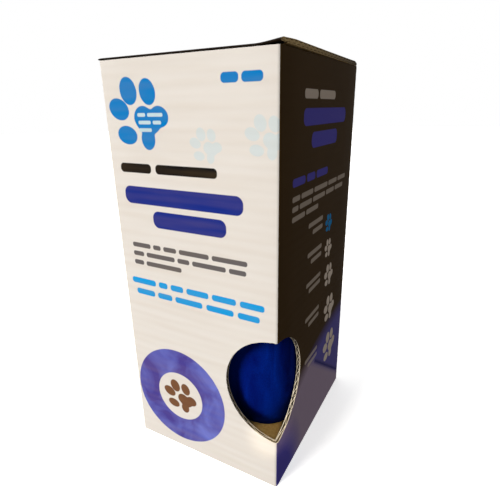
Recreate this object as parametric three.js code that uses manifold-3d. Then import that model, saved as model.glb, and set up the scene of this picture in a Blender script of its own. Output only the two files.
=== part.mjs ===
// An inflatable recovery collar for a small pet, packed deflated in an upright window carton.
// The flat ring-shaped sleeve is folded lengthwise into four layers, then bent once, so that it
// stands as a U with its bend on the carton's floor. The plush side shows through the window.
// Millimetres, +Z up, the carton's front faces -Y, the origin is the middle of its underside.

import * as THREE from 'three';
import { mergeVertices } from 'three/addons/utils/BufferGeometryUtils.js';
import Module from 'manifold-3d';

const wasm = await Module();
wasm.setup();

// Driving sizes

const collar = {
  outerRadius: 105,
  neckRadius: 28,
  slitWidth: 2,
  plush: 2,
  backing: 1.2,
  pocket: 4.3,
  seamGap: 0.3,
  edgeRoll: 6,
  endAngle: 8,
};

const bladder = {
  film: 0.65,
  coverGap: 0.9,
  rimInset: 6,
  weldWidth: 4,
  edgeRoll: 6,
  hollowRoll: 5,
  hollowRim: 0.12,
};

const fold = {
  layerGap: 0.6,
  flapShare: 0.74,
  slitToLeftFold: 14,
  core: 1.7,
};

const carton = {
  height: 160,
  board: 1.6,
  cornerRadius: 2.2,
  sideClearance: 0.5,
  frontClearance: 4.7,
  floorClearance: 0.4,
};

const cornerWindow = {
  radius: 22,
  height: 44,
};

const lid = {
  gap: 0.3,
  creaseRadius: 1.3,
  tuckDepth: 12,
  tuckTaper: 4,
  tuckSideClearance: 1.6,
  swingClearance: 0.35,
};

const closure = {
  fromNeck: 32,
  gap: 0.3,
  patchLength: 16,
  patchWidth: 20,
  patchThickness: 1.2,
  patchFromSlit: 3,
  tabLength: 24,
  tabWidth: 22,
  tabThickness: 1.3,
  tabSewn: 11,
};

const valve = {
  fromRim: 26,
  gap: 0.3,
  flangeRadius: 6,
  flangeThickness: 0.6,
  stemRadius: 4.4,
  boreRadius: 2.6,
  stemProud: 1.7,
  plugHeadRadius: 5.5,
  plugHeadThickness: 1.2,
  plugLength: 4,
};

const ARC_STEPS = 5;
const WINDOW_SIDES = 48;
const ROUND_SIDES = 20;
const STATION_SPACING = 1.2;

// Stations across the neck hole, as shares of its radius
const NECK_STATIONS = [0.96, 0.9, 0.8, 0.5];

// How far the rows of a sheet lie from the neck rim, or from the bend, towards the outer rim
const PANEL_ROWS = [0, 0.1, 0.2, 0.3, 0.4, 0.5, 0.68, 0.9, 1];
const BLADDER_ROWS = [0, 0.1, 0.2, 0.3, 0.41, 0.53, 0.65, 0.8, 1];

// Sizes that follow

const sleeveThickness = collar.plush + collar.pocket + collar.backing;
const half = sleeveThickness / 2;
const pitch = sleeveThickness + fold.layerGap;
const smallFold = Math.PI * pitch / 2;
const largeFold = Math.PI * pitch * 1.5;
const layerWidth = (2 * collar.outerRadius - 2 * smallFold - largeFold) / (2 + 2 * fold.flapShare);
const bundleHalfWidth = (layerWidth + 2 * pitch + sleeveThickness) / 2;
const rightFoldX = bundleHalfWidth - 1.5 * pitch - half;
const leftFoldX = rightFoldX - layerWidth;
const slitX = leftFoldX + fold.slitToLeftFold;
const bendOuterRadius = fold.core + 3 * pitch + sleeveThickness;
const bendRadius = bendOuterRadius - half;
const bendQuarter = bendRadius * Math.PI / 2;
const bendHeight = carton.board + carton.floorClearance + bendOuterRadius;

const insideX = bundleHalfWidth + carton.sideClearance;
const insideY = bendOuterRadius + carton.frontClearance;
const outsideX = insideX + carton.board;
const outsideY = insideY + carton.board;
const lidUnder = carton.height + lid.gap;
const lidTop = lidUnder + carton.board;

// The folds across the collar, from the rim of the inner flap to the rim of the outer flap.
// A turn is in half circles, to the left where it is above zero, seen along the bundle.
const innerFlap = collar.outerRadius - fold.slitToLeftFold - 2 * smallFold - layerWidth;
const outerFlap = collar.outerRadius + fold.slitToLeftFold - layerWidth - largeFold;
const stretches = [
  { name: 'inner flap', length: innerFlap, turn: 0, steps: 2 },
  { name: 'inner right fold', length: smallFold, turn: 1, steps: 5 },
  { name: 'inner layer', length: layerWidth, turn: 0, steps: 2 },
  { name: 'left fold', length: smallFold, turn: -1, steps: 4 },
  { name: 'outer layer', length: layerWidth, turn: 0, steps: 2 },
  { name: 'outer right fold', length: largeFold, turn: -1, steps: 6 },
  { name: 'outer flap', length: outerFlap, turn: 0, steps: 2 },
];

// Place and heading in the folded section, a distance across the collar from its middle.
// Depth is zero at the outer layer and grows negative towards the inside of the bend.
function sectionAt(across) {
  let x = rightFoldX - innerFlap;
  let depth = -2 * pitch;
  let heading = 0;
  let left = across + collar.outerRadius;
  stretches.forEach((stretch, index) => {
    const last = index === stretches.length - 1;
    const run = last ? left : Math.min(left, stretch.length);
    left -= run;
    if (stretch.turn === 0) {
      x += run * Math.cos(heading);
      depth += run * Math.sin(heading);
      return;
    }
    const angle = stretch.turn * Math.PI * run / stretch.length;
    const radius = stretch.length / (Math.PI * stretch.turn);
    x += radius * (Math.sin(heading + angle) - Math.sin(heading));
    depth -= radius * (Math.cos(heading + angle) - Math.cos(heading));
    heading += angle;
  });
  return { x, depth, heading };
}

// A point of the flat collar in its packed place. Out is measured towards the plush.
function packedPoint(across, along, out) {
  const section = sectionAt(across);
  const x = section.x - out * Math.sin(section.heading);
  const radius = bendRadius + section.depth + out * Math.cos(section.heading);
  const turn = THREE.MathUtils.clamp(along / bendRadius, -Math.PI / 2, Math.PI / 2);
  const rise = Math.max(0, Math.abs(along) - bendQuarter);
  return new THREE.Vector3(x, radius * Math.sin(turn), bendHeight - radius * Math.cos(turn) + rise);
}

// Stations across the collar: its ends and the sides of the slit first, then the folds' steps.
// A sheet that lies close against another has stations at that one's neck hole too.
function stationsFor(outline, roll, otherNeck) {
  const kept = [-outline.reach, outline.reach, -outline.slitHalf, outline.slitHalf];
  const wanted = [outline.neck, -outline.neck, otherNeck, -otherNeck];
  let start = -collar.outerRadius;
  for (const stretch of stretches) {
    for (let step = 0; step <= stretch.steps; step += 1) {
      wanted.push(start + stretch.length * step / stretch.steps);
    }
    start += stretch.length;
  }
  for (const share of NECK_STATIONS) wanted.push(share * outline.neck, -share * outline.neck);
  wanted.push(outline.neck + roll, -outline.neck - roll);
  wanted.push(outline.slitHalf + roll, -outline.slitHalf - roll);
  wanted.push(outline.reach - roll, roll - outline.reach);
  for (const station of wanted) {
    const clear = kept.every((other) => Math.abs(other - station) > STATION_SPACING);
    if (clear && Math.abs(station) < outline.reach) kept.push(station);
  }
  return kept.sort((a, b) => a - b);
}

// The outline of one sheet: the cover's own, or one set in from it
function outlineSetIn(inset) {
  const outer = collar.outerRadius - inset;
  return {
    outer,
    neck: collar.neckRadius + inset,
    slitHalf: collar.slitWidth / 2 + inset,
    reach: outer * Math.cos(THREE.MathUtils.degToRad(collar.endAngle)),
  };
}

// Rises from 0 at a sheet's edge to 1 at a distance of one roll, as a rounded edge does
function rounded(distance, roll) {
  const share = THREE.MathUtils.clamp(distance / roll, 0, 1);
  return Math.sqrt(1 - (1 - share) ** 2);
}

// How full the sleeve is at a point: 0 at the outer, neck and slit edges, 1 away from them
function fullness(outline, across, along, roll) {
  const fromMiddle = Math.hypot(across, along);
  const fromRim = Math.min(outline.outer - fromMiddle, outline.reach - Math.abs(across));
  const fromNeck = fromMiddle - outline.neck;
  const fromSlit = along > 0 ? Math.abs(across) - outline.slitHalf : Infinity;
  return rounded(Math.min(fromRim, fromNeck, fromSlit), roll);
}

// One closed sheet between two surfaces, given as heights over the sleeve's mid surface
function packedSheet({ outline, otherNeck, rows, roll, top, bottom }) {
  const stations = stationsFor(outline, roll, otherNeck);
  const places = [];
  const index = new Map();

  function vertex(column, side, row) {
    const across = stations[column];
    const closed = Math.abs(across) > outline.neck - STATION_SPACING / 2;
    const key = `${column} ${closed && row === 0 ? 0 : side} ${row}`;
    if (!index.has(key)) {
      const near = closed ? 0 : Math.sqrt(outline.neck ** 2 - across ** 2);
      const far = Math.sqrt(outline.outer ** 2 - across ** 2);
      const along = side * (near + (far - near) * rows[row]);
      index.set(key, places.length);
      places.push({ across, along, full: fullness(outline, across, along, roll) });
    }
    return index.get(key);
  }

  const triangles = [];
  for (let column = 0; column < stations.length - 1; column += 1) {
    const middle = (stations[column] + stations[column + 1]) / 2;
    const isSlit = Math.abs(middle) < outline.slitHalf;
    for (const side of isSlit ? [-1] : [-1, 1]) {
      for (let row = 0; row < rows.length - 1; row += 1) {
        const a = vertex(column, side, row);
        const b = vertex(column + 1, side, row);
        const c = vertex(column + 1, side, row + 1);
        const d = vertex(column, side, row + 1);
        if (side > 0) triangles.push([a, c, b], [a, d, c]);
        else triangles.push([a, b, c], [a, c, d]);
      }
    }
  }
  return closedSheet(places, triangles, top, bottom);
}

// Both faces of a sheet and the narrow wall round its edge
function closedSheet(places, triangles, top, bottom) {
  const count = places.length;
  const positions = [];
  for (const surface of [top, bottom]) {
    for (const { across, along, full } of places) {
      positions.push(...packedPoint(across, along, surface(full)).toArray());
    }
  }
  const faces = [];
  const edges = new Set();
  for (const [a, b, c] of triangles) {
    faces.push(a, b, c, c + count, b + count, a + count);
    edges.add(`${a} ${b}`).add(`${b} ${c}`).add(`${c} ${a}`);
  }
  for (const edge of edges) {
    const [a, b] = edge.split(' ').map(Number);
    if (!edges.has(`${b} ${a}`)) faces.push(b, a, a + count, b, a + count, b + count);
  }
  const geometry = new THREE.BufferGeometry();
  geometry.setAttribute('position', new THREE.Float32BufferAttribute(positions, 3));
  geometry.setIndex(faces);
  return geometry;
}

// Joins and cuts

function solid(geometry) {
  const bare = geometry.clone();
  bare.deleteAttribute('normal');
  bare.deleteAttribute('uv');
  const merged = mergeVertices(bare, 1e-4);
  return new wasm.Manifold(new wasm.Mesh({
    numProp: 3,
    vertProperties: new Float32Array(merged.attributes.position.array),
    triVerts: new Uint32Array(merged.index.array),
  }));
}

function geometryOf(manifold) {
  const result = manifold.getMesh();
  const geometry = new THREE.BufferGeometry();
  geometry.setAttribute('position', new THREE.Float32BufferAttribute(result.vertProperties, 3));
  geometry.setIndex(Array.from(result.triVerts));
  return geometry;
}

// A cylinder along Y, between two depths
function cylinderAlongY(radius, x, z, yFrom, yTo, sides) {
  const geometry = new THREE.CylinderGeometry(radius, radius, yTo - yFrom, sides);
  return geometry.translate(x, (yFrom + yTo) / 2, z);
}

// A cylinder along X, between two depths
function cylinderAlongX(radius, y, z, xFrom, xTo, sides) {
  const geometry = new THREE.CylinderGeometry(radius, radius, xTo - xFrom, sides);
  return geometry.rotateZ(Math.PI / 2).translate((xFrom + xTo) / 2, y, z);
}

function roundedRectangle(halfX, halfY, radius) {
  const shape = new THREE.Shape();
  shape.absarc(halfX - radius, halfY - radius, radius, 0, Math.PI / 2);
  shape.absarc(radius - halfX, halfY - radius, radius, Math.PI / 2, Math.PI);
  shape.absarc(radius - halfX, radius - halfY, radius, Math.PI, Math.PI * 1.5);
  shape.absarc(halfX - radius, radius - halfY, radius, Math.PI * 1.5, Math.PI * 2);
  shape.closePath();
  return shape;
}

function upright(shape, zFrom, zTo) {
  const options = { depth: zTo - zFrom, bevelEnabled: false, curveSegments: ARC_STEPS };
  return new THREE.ExtrudeGeometry(shape, options).translate(0, 0, zFrom);
}

// A shape drawn in X and Z, given its thickness along Y
function facingFront(shape, yFrom, yTo) {
  const options = { depth: yTo - yFrom, bevelEnabled: false, curveSegments: ARC_STEPS };
  return new THREE.ExtrudeGeometry(shape, options).rotateX(Math.PI / 2).translate(0, yTo, 0);
}

// Carton: four walls and the floor of corrugated board, with one round window folded over a corner

function cartonSleeve() {
  const innerRadius = carton.cornerRadius - carton.board;
  const outside = solid(upright(roundedRectangle(outsideX, outsideY, carton.cornerRadius), 0, carton.height));
  const above = carton.height + carton.board;
  const inside = solid(upright(roundedRectangle(insideX, insideY, innerRadius), carton.board, above));
  const { radius, height } = cornerWindow;
  const [frontFrom, frontTo] = [-outsideY - carton.board, innerRadius - insideY];
  const [sideFrom, sideTo] = [insideX - innerRadius, outsideX + carton.board];
  const frontCut = cylinderAlongY(radius, outsideX, height, frontFrom, frontTo, WINDOW_SIDES);
  const sideCut = cylinderAlongX(radius, -outsideY, height, sideFrom, sideTo, WINDOW_SIDES);
  return geometryOf(outside.subtract(inside).subtract(solid(frontCut)).subtract(solid(sideCut)));
}

// Lid: a panel hinged at the back wall, with a tuck flap that swings clear of the front wall

function lidPanel() {
  const radius = lid.creaseRadius;
  const shape = new THREE.Shape();
  shape.moveTo(-outsideY, lidUnder);
  shape.lineTo(outsideY, lidUnder);
  shape.absarc(outsideY - radius, lidTop - radius, radius, 0, Math.PI / 2);
  shape.absarc(radius - outsideY, lidTop - radius, radius, Math.PI / 2, Math.PI);
  shape.closePath();
  const options = { depth: 2 * outsideX, bevelEnabled: false, curveSegments: ARC_STEPS };
  const geometry = new THREE.ExtrudeGeometry(shape, options);
  return geometry.rotateX(Math.PI / 2).rotateZ(Math.PI / 2).translate(-outsideX, 0, 0);
}

function tuckFlap() {
  const halfTop = insideX - lid.tuckSideClearance;
  const halfFoot = halfTop - lid.tuckTaper;
  const foot = lidUnder - lid.tuckDepth;
  const reach = outsideY + insideY - lid.swingClearance;
  const outerFace = outsideY - Math.sqrt(reach ** 2 - lid.tuckDepth ** 2);
  const shape = new THREE.Shape();
  shape.moveTo(-halfTop, lidUnder + carton.board / 2);
  shape.lineTo(-halfTop, foot + lid.tuckTaper);
  shape.lineTo(-halfFoot, foot);
  shape.lineTo(halfFoot, foot);
  shape.lineTo(halfTop, foot + lid.tuckTaper);
  shape.lineTo(halfTop, lidUnder + carton.board / 2);
  shape.closePath();
  return facingFront(shape, outerFace, outerFace + carton.board);
}

function cartonLid() {
  return geometryOf(solid(lidPanel()).add(solid(tuckFlap())));
}

// Collar: the plush front panel and the black back panel, sewn together round their edges

const pocketTop = half - collar.plush;
const pocketBottom = half - collar.backing;
const seamHalf = collar.seamGap / 2;
const coverOutline = outlineSetIn(0);

function plushInside(full) {
  return THREE.MathUtils.lerp(seamHalf, pocketTop, full);
}

function backingInside(full) {
  return -THREE.MathUtils.lerp(seamHalf, pocketBottom, full);
}

const valveX = (leftFoldX + rightFoldX) / 2;
const valveAlong = Math.sqrt((collar.outerRadius - valve.fromRim) ** 2 - (valveX - slitX) ** 2);
const valveZ = bendHeight - bendQuarter + valveAlong;

// The hole for the stem, in the end of the bundle that faces the front wall
function valveHole(gap, depth) {
  const radius = valve.stemRadius + gap;
  return solid(cylinderAlongY(radius, valveX, valveZ, -outsideY, -depth, ROUND_SIDES));
}

function coverFrontPanel() {
  const sheet = packedSheet({
    outline: coverOutline,
    otherNeck: coverOutline.neck,
    rows: PANEL_ROWS,
    roll: collar.edgeRoll,
    top: (full) => plushInside(full) + collar.plush,
    bottom: plushInside,
  });
  const hole = valveHole(2 * valve.gap, bendRadius + (pocketTop - bladder.coverGap / 2));
  return geometryOf(solid(sheet).subtract(hole));
}

function coverBackPanel() {
  const sheet = packedSheet({
    outline: coverOutline,
    otherNeck: coverOutline.neck,
    rows: PANEL_ROWS,
    roll: collar.edgeRoll,
    top: backingInside,
    bottom: (full) => backingInside(full) - collar.backing,
  });
  return geometryOf(solid(sheet));
}

// Bladder: two films welded round their edges, with a thin space of air between them

const bladderTop = pocketTop - bladder.coverGap;
const bladderBottom = -(pocketBottom - bladder.coverGap);
const bladderMiddle = (bladderTop + bladderBottom) / 2;
const bladderHalf = (bladderTop - bladderBottom) / 2;
const hollowHalf = bladderHalf - bladder.film;

function bladderShell(inset, otherInset, roll, rimHalf, fullHalf) {
  return packedSheet({
    outline: outlineSetIn(inset),
    otherNeck: outlineSetIn(otherInset).neck,
    rows: BLADDER_ROWS,
    roll,
    top: (full) => bladderMiddle + THREE.MathUtils.lerp(rimHalf, fullHalf, full),
    bottom: (full) => bladderMiddle - THREE.MathUtils.lerp(rimHalf, fullHalf, full),
  });
}

function airBladder() {
  const { rimInset, edgeRoll, hollowRoll, hollowRim } = bladder;
  const hollowInset = rimInset + bladder.weldWidth;
  const films = bladderShell(rimInset, hollowInset, edgeRoll, bladder.film, bladderHalf);
  const hollow = bladderShell(hollowInset, rimInset, hollowRoll, hollowRim, hollowHalf);
  const opening = valveHole(valve.gap, bendRadius + bladderMiddle);
  return geometryOf(solid(films).subtract(solid(hollow)).subtract(opening));
}

// Valve: a flanged stem held under the bladder's film, with its plug pushed in

const flangeTop = bendRadius + bladderMiddle + hollowHalf - valve.gap;
const stemTop = bendOuterRadius + valve.stemProud;

function lathed(outline) {
  const points = outline.map(([radius, depth]) => new THREE.Vector2(radius, depth));
  points.push(points[0].clone());
  const geometry = new THREE.LatheGeometry(points, ROUND_SIDES).rotateX(Math.PI);
  return geometryOf(solid(geometry.translate(valveX, 0, valveZ)));
}

function valveStem() {
  return lathed([
    [valve.boreRadius, flangeTop - valve.flangeThickness],
    [valve.flangeRadius, flangeTop - valve.flangeThickness],
    [valve.flangeRadius, flangeTop],
    [valve.stemRadius, flangeTop],
    [valve.stemRadius, stemTop],
    [valve.boreRadius, stemTop],
  ]);
}

function valvePlug() {
  const underHead = stemTop + valve.gap;
  const top = underHead + valve.plugHeadThickness;
  return lathed([
    [0, underHead - valve.plugLength],
    [valve.boreRadius - valve.gap, underHead - valve.plugLength],
    [valve.boreRadius - valve.gap, underHead],
    [valve.plugHeadRadius, underHead],
    [valve.plugHeadRadius, top],
    [0, top],
  ]);
}

// Closure: a soft loop patch on one side of the slit, and a hook tab sewn to the other side

const closureZ = bendHeight - bendQuarter + collar.neckRadius + closure.fromNeck;
const patchFrom = slitX + collar.slitWidth / 2 + closure.patchFromSlit;
const onPlush = bendOuterRadius + closure.gap;

function closurePatch() {
  const shape = roundedRectangle(closure.patchLength / 2, closure.patchWidth / 2, closure.patchThickness);
  const geometry = facingFront(shape, onPlush, onPlush + closure.patchThickness);
  return geometryOf(solid(geometry.translate(patchFrom + closure.patchLength / 2, 0, closureZ)));
}

function closureTab() {
  const onPatch = onPlush + closure.patchThickness + closure.gap;
  const thick = closure.tabThickness;
  const sewnTo = slitX - collar.slitWidth / 2;
  const sewnFrom = sewnTo - closure.tabSewn;
  const rampTo = patchFrom - closure.gap;
  const shape = new THREE.Shape();
  shape.moveTo(sewnFrom, -onPlush);
  shape.lineTo(sewnTo, -onPlush);
  shape.lineTo(rampTo, -onPatch);
  shape.lineTo(sewnFrom + closure.tabLength, -onPatch);
  shape.lineTo(sewnFrom + closure.tabLength, -onPatch - thick);
  shape.lineTo(rampTo, -onPatch - thick);
  shape.lineTo(sewnTo, -onPlush - thick);
  shape.lineTo(sewnFrom, -onPlush - thick);
  shape.closePath();
  const options = { depth: closure.tabWidth, bevelEnabled: false };
  const geometry = new THREE.ExtrudeGeometry(shape, options).rotateX(Math.PI);
  return geometryOf(solid(geometry.translate(0, 0, closureZ + closure.tabWidth / 2)));
}

// Assembly

function piece(name, geometry, colour, roughness) {
  const flat = geometry.index ? geometry.toNonIndexed() : geometry;
  flat.computeVertexNormals();
  const material = new THREE.MeshStandardMaterial({ color: colour, roughness, metalness: 0 });
  const mesh = new THREE.Mesh(flat, material);
  mesh.name = name;
  return mesh;
}

const WARM_WHITE = 0xe6dfd6;
const BROWN_BLACK = 0x241b14;
const ROYAL_BLUE = 0x0a1f8c;
const CLOTH_BLACK = 0x15151a;
const CLEAR_FILM = 0xcfd8dc;
const VALVE_CLEAR = 0xdfe6e8;

const packedCollar = new THREE.Group();
packedCollar.name = 'packed_collar';
packedCollar.add(
  piece('cover_front_panel', coverFrontPanel(), ROYAL_BLUE, 0.9),
  piece('cover_back_panel', coverBackPanel(), CLOTH_BLACK, 0.9),
  piece('air_bladder', airBladder(), CLEAR_FILM, 0.35),
  piece('valve_stem', valveStem(), VALVE_CLEAR, 0.3),
  piece('valve_plug', valvePlug(), VALVE_CLEAR, 0.3),
  piece('closure_patch', closurePatch(), CLOTH_BLACK, 0.95),
  piece('closure_tab', closureTab(), CLOTH_BLACK, 0.85),
);

const part = new THREE.Group();
part.name = 'recovery_collar_in_window_carton';
part.add(
  piece('carton_sleeve', cartonSleeve(), WARM_WHITE, 0.7),
  piece('carton_lid', cartonLid(), BROWN_BLACK, 0.6),
  packedCollar,
);

export default part;
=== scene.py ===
# Looks of an inflatable recovery collar, packed deflated in an upright window carton.
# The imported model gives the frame. Blender's units are metres, and the shapes here are worked out in
# millimetres in the same frame: +Z up, the carton's front faces -Y.

import math

import bmesh
import bpy
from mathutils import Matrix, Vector


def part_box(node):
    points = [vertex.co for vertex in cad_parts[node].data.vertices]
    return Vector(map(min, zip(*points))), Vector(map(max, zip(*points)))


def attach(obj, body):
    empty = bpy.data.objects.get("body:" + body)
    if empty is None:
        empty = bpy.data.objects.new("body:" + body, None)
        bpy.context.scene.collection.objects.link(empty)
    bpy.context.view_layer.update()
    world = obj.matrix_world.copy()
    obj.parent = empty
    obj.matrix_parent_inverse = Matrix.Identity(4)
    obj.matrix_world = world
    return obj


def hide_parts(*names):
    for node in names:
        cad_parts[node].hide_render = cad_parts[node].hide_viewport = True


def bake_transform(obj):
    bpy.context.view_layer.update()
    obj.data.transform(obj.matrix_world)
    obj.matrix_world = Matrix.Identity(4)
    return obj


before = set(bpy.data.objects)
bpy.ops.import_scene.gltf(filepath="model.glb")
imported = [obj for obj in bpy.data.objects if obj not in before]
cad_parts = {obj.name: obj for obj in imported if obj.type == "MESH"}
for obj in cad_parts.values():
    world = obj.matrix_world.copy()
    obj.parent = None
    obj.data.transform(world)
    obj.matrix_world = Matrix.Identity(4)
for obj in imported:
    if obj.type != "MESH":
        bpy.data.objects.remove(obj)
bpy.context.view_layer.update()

MM = 0.001


def box_mm(node):
    low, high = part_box(node)
    return [value / MM for value in low], [value / MM for value in high]


# Carton sizes, from the frame

OUT_X, OUT_Y, HEIGHT = box_mm("carton_sleeve")[1]
LID_TOP = box_mm("carton_lid")[1][2]
BOARD = 1.6
LID_UNDER = LID_TOP - BOARD
IN_X = OUT_X - BOARD
IN_Y = OUT_Y - BOARD
CREASE_RADIUS = 1.2
LINER = 0.28
FLUTE_PITCH = 3.5
FLUTE_SAMPLES = 8
MEDIUM = 0.26
FLUTE_SWING = BOARD / 2 - LINER - MEDIUM / 2
WASHBOARD = 0.02
WINDOW_RADIUS = 22
WINDOW_HEIGHT = 44
WINDOW_SIDES = 160

# Collar sizes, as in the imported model

OUTER_RADIUS = 105
NECK_RADIUS = 28
SLIT_HALF = 1
PLUSH = 2
BACKING = 1.2
SLEEVE = 7.5
HALF = SLEEVE / 2
LAYER_GAP = 0.6
FLAP_SHARE = 0.74
SLIT_TO_LEFT_FOLD = 14
FOLD_CORE = 1.7
EDGE_ROLL = 6
END_ANGLE = math.radians(88)

BLADDER_INSET = 6
BLADDER_GAP = 0.9
BLADDER_FILM = 0.65
RIM_SPACING = 1.6
BINDING_RADIUS = 0.85
TAB_THICKNESS = 1.3
TAB_GAP = 0.3
STRAP_SPACING = 0.5
STRAP_ROLL = 0.9
STRAP_EDGE_FRONT = 0.55
STRAP_EDGE_BACK = 0.25
STITCH_INSET = 1.6
STITCH_PITCH = 2.1
STITCH_LENGTH = 1.5
STITCH_RADIUS = 0.2
STITCH_SIDES = 6
VALVE_BORE = 2.6
VALVE_FLANGE = 6
VALVE_FLANGE_THICKNESS = 0.6
VALVE_NECK = 4.4
VALVE_HEAD_THICKNESS = 1.2
VALVE_SOFTENED = 0.25
PLUG_RADIUS = VALVE_BORE - 0.3
PLUG_TIP = VALVE_BORE - 0.9
PLUG_SOFTENED = 0.3
PLUG_POINT = 0.8
PLUG_RIM = 1.2
PLUG_SLOPE = 1.8
PLUG_HOLLOW = 0.35
ON_AXIS = 0.01
VALVE_SIDES = 56

PITCH = SLEEVE + LAYER_GAP
SMALL_FOLD = math.pi * PITCH / 2
LARGE_FOLD = math.pi * PITCH * 1.5
LAYER_WIDTH = (2 * OUTER_RADIUS - 2 * SMALL_FOLD - LARGE_FOLD) / (2 + 2 * FLAP_SHARE)
BUNDLE_HALF = (LAYER_WIDTH + 2 * PITCH + SLEEVE) / 2
RIGHT_FOLD_X = BUNDLE_HALF - 1.5 * PITCH - HALF
LEFT_FOLD_X = RIGHT_FOLD_X - LAYER_WIDTH
SLIT_X = LEFT_FOLD_X + SLIT_TO_LEFT_FOLD
BEND_OUTER = FOLD_CORE + 3 * PITCH + SLEEVE
BEND_RADIUS = BEND_OUTER - HALF
BEND_QUARTER = BEND_RADIUS * math.pi / 2
BEND_HEIGHT = BOARD + 0.4 + BEND_OUTER
INNER_FLAP = OUTER_RADIUS - SLIT_TO_LEFT_FOLD - 2 * SMALL_FOLD - LAYER_WIDTH
STRETCHES = (
    (INNER_FLAP, 0),
    (SMALL_FOLD, 1),
    (LAYER_WIDTH, 0),
    (SMALL_FOLD, -1),
    (LAYER_WIDTH, 0),
    (LARGE_FOLD, -1),
    (OUTER_RADIUS, 0),
)


# Meshes

SHARP_ANGLE = math.radians(40)
MERGE_DISTANCE = 1e-8


def linked(name, data):
    item = bpy.data.objects.new(name, data)
    bpy.context.scene.collection.objects.link(item)
    return item


def mesh_piece(name, points, faces, materials, body):
    """A smooth mesh from points in millimetres, on a body of the frame if one is named."""
    mesh = bpy.data.meshes.new(name)
    mesh.from_pydata([Vector(point) * MM for point in points], [], faces)
    mesh.validate()
    for polygon in mesh.polygons:
        polygon.use_smooth = True
    piece = linked(name, mesh)
    for material in materials:
        mesh.materials.append(material)
    if body:
        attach(piece, body)
    return piece


def mix(a, b, share):
    return a + (b - a) * share


def smooth(value, start, end):
    share = min(max((value - start) / (end - start), 0), 1)
    return share * share * (3 - 2 * share)


def point_between(a, b, share):
    return tuple(mix(one, other, share) for one, other in zip(a, b))


def points_between(a, b, steps):
    return [point_between(a, b, step / steps) for step in range(1, steps)]


def path_arc(centre_y, centre_z, radius, start, end, steps=8):
    points = []
    for step in range(steps + 1):
        angle = math.radians(mix(start, end, step / steps))
        points.append((centre_y + radius * math.cos(angle), centre_z + radius * math.sin(angle)))
    return points


def path_line(y_from, z_from, y_to, z_to, spacing=1.2):
    steps = max(1, round(math.hypot(y_to - y_from, z_to - z_from) / spacing))
    return [(mix(y_from, y_to, step / steps), mix(z_from, z_to, step / steps)) for step in range(steps + 1)]


def circle(sides, radius=1):
    turns = [2 * math.pi * side / sides for side in range(sides)]
    return [(radius * math.cos(turn), radius * math.sin(turn)) for turn in turns]


def tube_faces(rows, columns, closed_rows=False):
    """Quads of a grid whose columns go round, with its rows joined end to end if closed_rows."""
    faces = []
    for row in range(rows if closed_rows else rows - 1):
        below = (row + 1) % rows
        for column in range(columns):
            side = (column + 1) % columns
            faces.append((
                row * columns + column,
                row * columns + side,
                below * columns + side,
                below * columns + column,
            ))
    return faces


def selected(piece):
    return bpy.context.temp_override(
        object=piece, active_object=piece, selected_objects=[piece], selected_editable_objects=[piece])


def sharpen(piece):
    """Keeps edges crisp where faces meet at more than the sharp angle."""
    with selected(piece):
        bpy.ops.object.shade_smooth_by_angle(angle=SHARP_ANGLE)


def fix_normals(piece, merge=False):
    """Turns every face outwards, after joining points in one place if merge."""
    edit = bmesh.new()
    edit.from_mesh(piece.data)
    if merge:
        bmesh.ops.remove_doubles(edit, verts=edit.verts, dist=MERGE_DISTANCE)
    bmesh.ops.recalc_face_normals(edit, faces=edit.faces)
    edit.to_mesh(piece.data)
    edit.free()


# Materials

def linear(value):
    return value / 12.92 if value <= 0.04045 else ((value + 0.055) / 1.055) ** 2.4


def colour(red, green, blue):
    """A colour given as it looks on screen, from 0 to 1."""
    return (linear(red), linear(green), linear(blue), 1)


class Nodes:
    """A node tree that is built by calls."""

    def __init__(self, tree, place="Object"):
        self.tree = tree
        self.place = self.node("TexCoord", {}, place)

    def put(self, socket, value):
        if isinstance(value, bpy.types.NodeSocket):
            self.tree.links.new(value, socket)
        elif value is not None:
            socket.default_value = value

    def node(self, kind, inputs, output=0, **settings):
        """Adds a node, with its inputs by name or number, and gives one of its outputs."""
        node = self.tree.nodes.new("ShaderNode" + kind)
        for name, value in settings.items():
            setattr(node, name, value)
        for name, value in inputs.items():
            self.put(node.inputs[name], value)
        return node.outputs[output]

    def math(self, operation, *values):
        return self.node("Math", dict(enumerate(values)), operation=operation)

    def vector(self, operation, *values, output=0):
        return self.node("VectorMath", dict(enumerate(values)), output, operation=operation)

    def axis(self, vector, number):
        return self.node("SeparateXYZ", {0: vector}, number)

    def mapped(self, flat, place, tilt, scale=(1, 1, 1)):
        """Coordinates about a place, turned by a tilt in degrees and measured in units of scale."""
        turn = (0, 0, math.radians(tilt))
        inputs = {"Vector": flat, "Location": place, "Rotation": turn, "Scale": scale}
        return self.node("Mapping", inputs, vector_type="TEXTURE")

    def blend(self, share, a, b):
        return self.node("Mix", {0: share, 6: a, 7: b}, 2, data_type="RGBA")

    def noise(self, scale, detail=3, stretch=(1, 1, 1), distortion=0.0):
        place = self.vector("MULTIPLY", self.place, stretch)
        inputs = {"Vector": place, "Scale": scale, "Detail": detail, "Distortion": distortion}
        return self.node("TexNoise", inputs)

    def ramp(self, value, start, end, low=0, high=1):
        return self.node("MapRange", {0: value, 1: start, 2: end, 3: low, 4: high})

    def bump(self, height, strength, distance, after=None):
        inputs = {"Height": height, "Strength": strength, "Distance": distance, "Normal": after}
        return self.node("Bump", inputs)


class Finish(Nodes):
    """One material: a Principled shader and the nodes that drive it."""

    def __init__(self, name, roughness, **values):
        self.material = bpy.data.materials.new(name)
        self.material.use_nodes = True
        super().__init__(self.material.node_tree)
        self.shader = self.tree.nodes["Principled BSDF"].inputs
        self.shader["Roughness"].default_value = roughness
        for socket, value in values.items():
            self.shader[socket.replace("_", " ")].default_value = value

    def finish(self, base, normal=None):
        self.put(self.shader["Base Color"], base)
        self.put(self.shader["Normal"], normal)
        return self.material


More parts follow.
